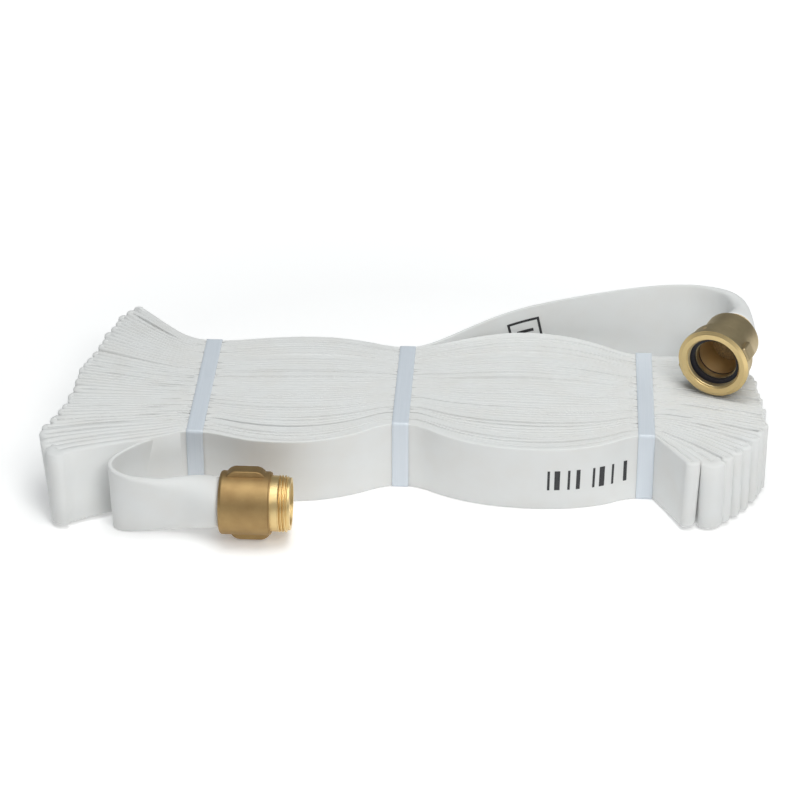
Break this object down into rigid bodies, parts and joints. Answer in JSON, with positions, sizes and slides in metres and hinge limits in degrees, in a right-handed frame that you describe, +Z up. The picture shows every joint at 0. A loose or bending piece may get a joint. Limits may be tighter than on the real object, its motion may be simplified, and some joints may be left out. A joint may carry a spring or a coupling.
{
  "type": "flaked fire hose",
  "caption": "Lay-flat fire hose folded into a banded pack standing on edge, with a brass male coupling and a brass female swivel coupling.",
  "frame": {"origin": "on the floor, at the middle of the bundle's footprint", "axes": "+X along the hose layers, towards the female coupling's end; +Y towards the layer that climbs to the female coupling; +Z up"},
  "size_m": [0.648, 0.3234, 0.1363],
  "materials": {
    "cast_brass": "tumbled cast brass with machined faces",
    "rolled_brass": "rolled brass",
    "steel_ball": "polished steel",
    "gasket_rubber": "matte moulded rubber",
    "liner_rubber": "smooth thin rubber liner",
    "hose_jacket": "white woven polyester jacket",
    "band_film": "bluish-white translucent plastic band"
  },
  "bodies": {
    "hose": {"male_coupling_body": "cast_brass", "male_expansion_ring": "rolled_brass", "male_tail_gasket": "gasket_rubber", "male_hose_end_jacket": "hose_jacket", "male_hose_end_liner": "liner_rubber", "female_bowl": "cast_brass", "female_tail_gasket": "gasket_rubber", "female_expansion_ring": "rolled_brass", "female_hose_end_jacket": "hose_jacket", "female_hose_end_liner": "liner_rubber", "folded_hose_pack": "hose_jacket", "male_tail_hose": "hose_jacket", "female_tail_hose": "hose_jacket", "left_band": "band_film", "middle_band": "band_film", "right_band": "band_film"},
    "swivel": {"female_swivel_ring": "cast_brass", "ball_plug": "rolled_brass", "thread_gasket": "gasket_rubber"},
    "race": {"swivel_balls": "steel_ball"}
  },
  "joints": [
    {"name": "swivel_spin", "type": "hinge", "parent": "hose", "child": "swivel", "pos_m": [0.27757, 0.01628, 0.1026], "axis": [-0.3758, -0.9255, -0.0471], "continuous": true},
    {"name": "ball_orbit", "type": "hinge", "parent": "hose", "child": "race", "pos_m": [0.28283, 0.02923, 0.10326], "axis": [-0.3758, -0.9255, -0.0471], "continuous": true}
  ],
  "couplings": [
    {"joint": "ball_orbit", "follows": "swivel_spin", "ratio": 0.5376}
  ]
}
